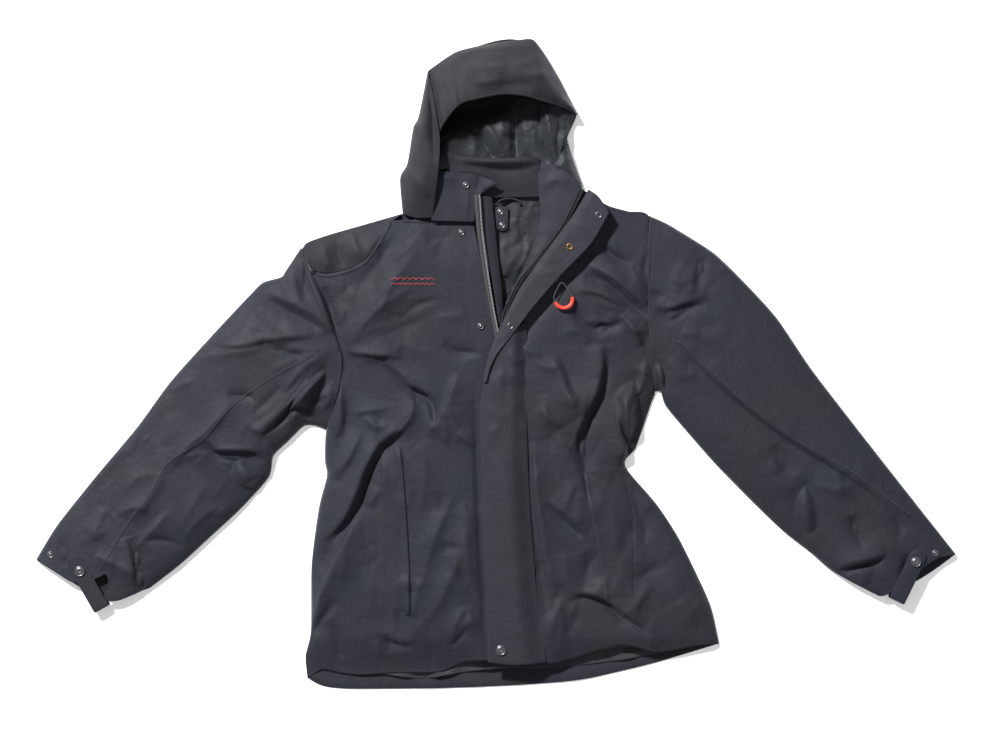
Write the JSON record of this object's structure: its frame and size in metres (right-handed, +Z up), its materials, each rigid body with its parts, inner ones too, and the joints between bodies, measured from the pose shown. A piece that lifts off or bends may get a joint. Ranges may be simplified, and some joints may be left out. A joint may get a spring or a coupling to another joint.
{
  "type": "foul weather jacket",
  "caption": "Hooded waterproof sailing jacket lying open at the neck, with storm flap, front zip, snap cuffs and hand pockets, for wear on deck in wind and spray.",
  "frame": {"origin": "on the surface the jacket lies on, under the middle of its width and length", "axes": "+X to the wearer's left, +Y from hem to hood, +Z up from the surface"},
  "size_m": [1.38, 0.9757, 0.0675],
  "materials": {
    "shell_fabric": "coated nylon, fine weave, soft sheen",
    "shell_fabric_side": "coated nylon, fine weave, soft sheen",
    "lining_fabric": "matt nylon taffeta",
    "zip_tape": "woven polyester tape",
    "zip_teeth": "moulded acetal",
    "snap_metal": "gunmetal plated, satin",
    "signal_rubber": "smooth silicone tube",
    "thread": "embroidery thread"
  },
  "bodies": {
    "torso": {"back_panel": "shell_fabric", "front_panel_right": "shell_fabric", "front_panel_left": "shell_fabric", "collar_right": "shell_fabric", "storm_flap_upper": "shell_fabric", "pocket_welt_right": "shell_fabric", "pocket_welt_left": "shell_fabric", "yoke_right": "shell_fabric_side", "lining_back": "lining_fabric", "lining_front_right": "lining_fabric", "lining_front_left": "lining_fabric", "collar_left": "lining_fabric", "facing_left": "lining_fabric", "inner_placket": "lining_fabric", "pocket_bag_right": "lining_fabric", "pocket_bag_left": "lining_fabric", "chest_pocket_bag": "lining_fabric", "neck_tab": "lining_fabric", "hanger_loop": "lining_fabric", "zip_tape_right": "zip_tape", "zip_tape_left": "zip_tape", "zip_chain_closed": "zip_teeth", "zip_teeth_right": "zip_teeth", "zip_teeth_left": "zip_teeth", "zip_box": "zip_teeth", "chest_zip_chain": "zip_teeth", "flap_socket_upper": "snap_metal", "flap_socket_middle": "snap_metal", "flap_socket_lower": "snap_metal", "front_stud_upper": "snap_metal", "front_stud_middle": "snap_metal", "front_stud_lower": "snap_metal", "front_stud_hem": "snap_metal", "neck_snap_upper": "snap_metal", "neck_snap_lower": "snap_metal", "chest_motif": "thread"},
    "sleeve_right": {"sleeve_right": "shell_fabric", "sleeve_lining_right": "lining_fabric", "cuff_stud_right": "snap_metal"},
    "sleeve_left": {"sleeve_left": "shell_fabric", "sleeve_lining_left": "lining_fabric", "cuff_stud_left": "snap_metal"},
    "cuff_tab_right": {"cuff_tab_right": "shell_fabric", "cuff_snap_right": "snap_metal"},
    "cuff_tab_left": {"cuff_tab_left": "shell_fabric", "cuff_snap_left": "snap_metal"},
    "hood": {"hood_back": "shell_fabric", "hood_lining": "lining_fabric", "hood_crown": "shell_fabric", "hood_brim": "shell_fabric", "hood_side_right": "shell_fabric_side", "hood_side_left": "shell_fabric_side", "collar_back": "lining_fabric"},
    "storm_flap": {"storm_flap_lower": "shell_fabric", "flap_snap_lower": "snap_metal"},
    "zip_slider": {"zip_slider": "snap_metal", "zip_pull": "snap_metal"},
    "chest_zip_slider": {"chest_zip_slider": "snap_metal"},
    "chest_puller": {"puller_cord": "thread", "puller_tube": "signal_rubber"}
  },
  "joints": [
    {"name": "sleeve_right_swing", "type": "hinge", "parent": "torso", "child": "sleeve_right", "pos_m": [-0.274, 0.04, 0.012], "axis": [0, 0, 1], "range_deg": [-35, 12]},
    {"name": "sleeve_left_swing", "type": "hinge", "parent": "torso", "child": "sleeve_left", "pos_m": [0.24, 0.09, 0.012], "axis": [0, 0, 1], "range_deg": [-12, 35]},
    {"name": "cuff_tab_right_lift", "type": "hinge", "parent": "sleeve_right", "child": "cuff_tab_right", "pos_m": [-0.592, -0.362, 0.0276], "axis": [0.8682, 0.4961, 0], "range_deg": [0, 110]},
    {"name": "cuff_tab_left_lift", "type": "hinge", "parent": "sleeve_left", "child": "cuff_tab_left", "pos_m": [0.598, -0.35, 0.0276], "axis": [0.8998, -0.4363, 0], "range_deg": [0, 110]},
    {"name": "hood_lift", "type": "hinge", "parent": "torso", "child": "hood", "pos_m": [0, 0.252, 0.001], "axis": [1, 0, 0], "range_deg": [0, 75]},
    {"name": "storm_flap_open", "type": "hinge", "parent": "torso", "child": "storm_flap", "pos_m": [0.073, -0.25, 0.0289], "axis": [0, 1, 0], "range_deg": [0, 150]},
    {"name": "front_zip_slide", "type": "slide", "parent": "torso", "child": "zip_slider", "axis": [0.0712, -0.9975, 0], "range_m": [0, 0.41]},
    {"name": "chest_zip_slide", "type": "slide", "parent": "torso", "child": "chest_zip_slider", "axis": [0.5547, 0.8321, 0], "range_m": [0, 0.08]},
    {"name": "chest_puller_swing", "type": "hinge", "parent": "chest_zip_slider", "child": "chest_puller", "pos_m": [0.096, 0.122, 0.027], "axis": [0, 0, 1], "range_deg": [-35, 35]}
  ]
}
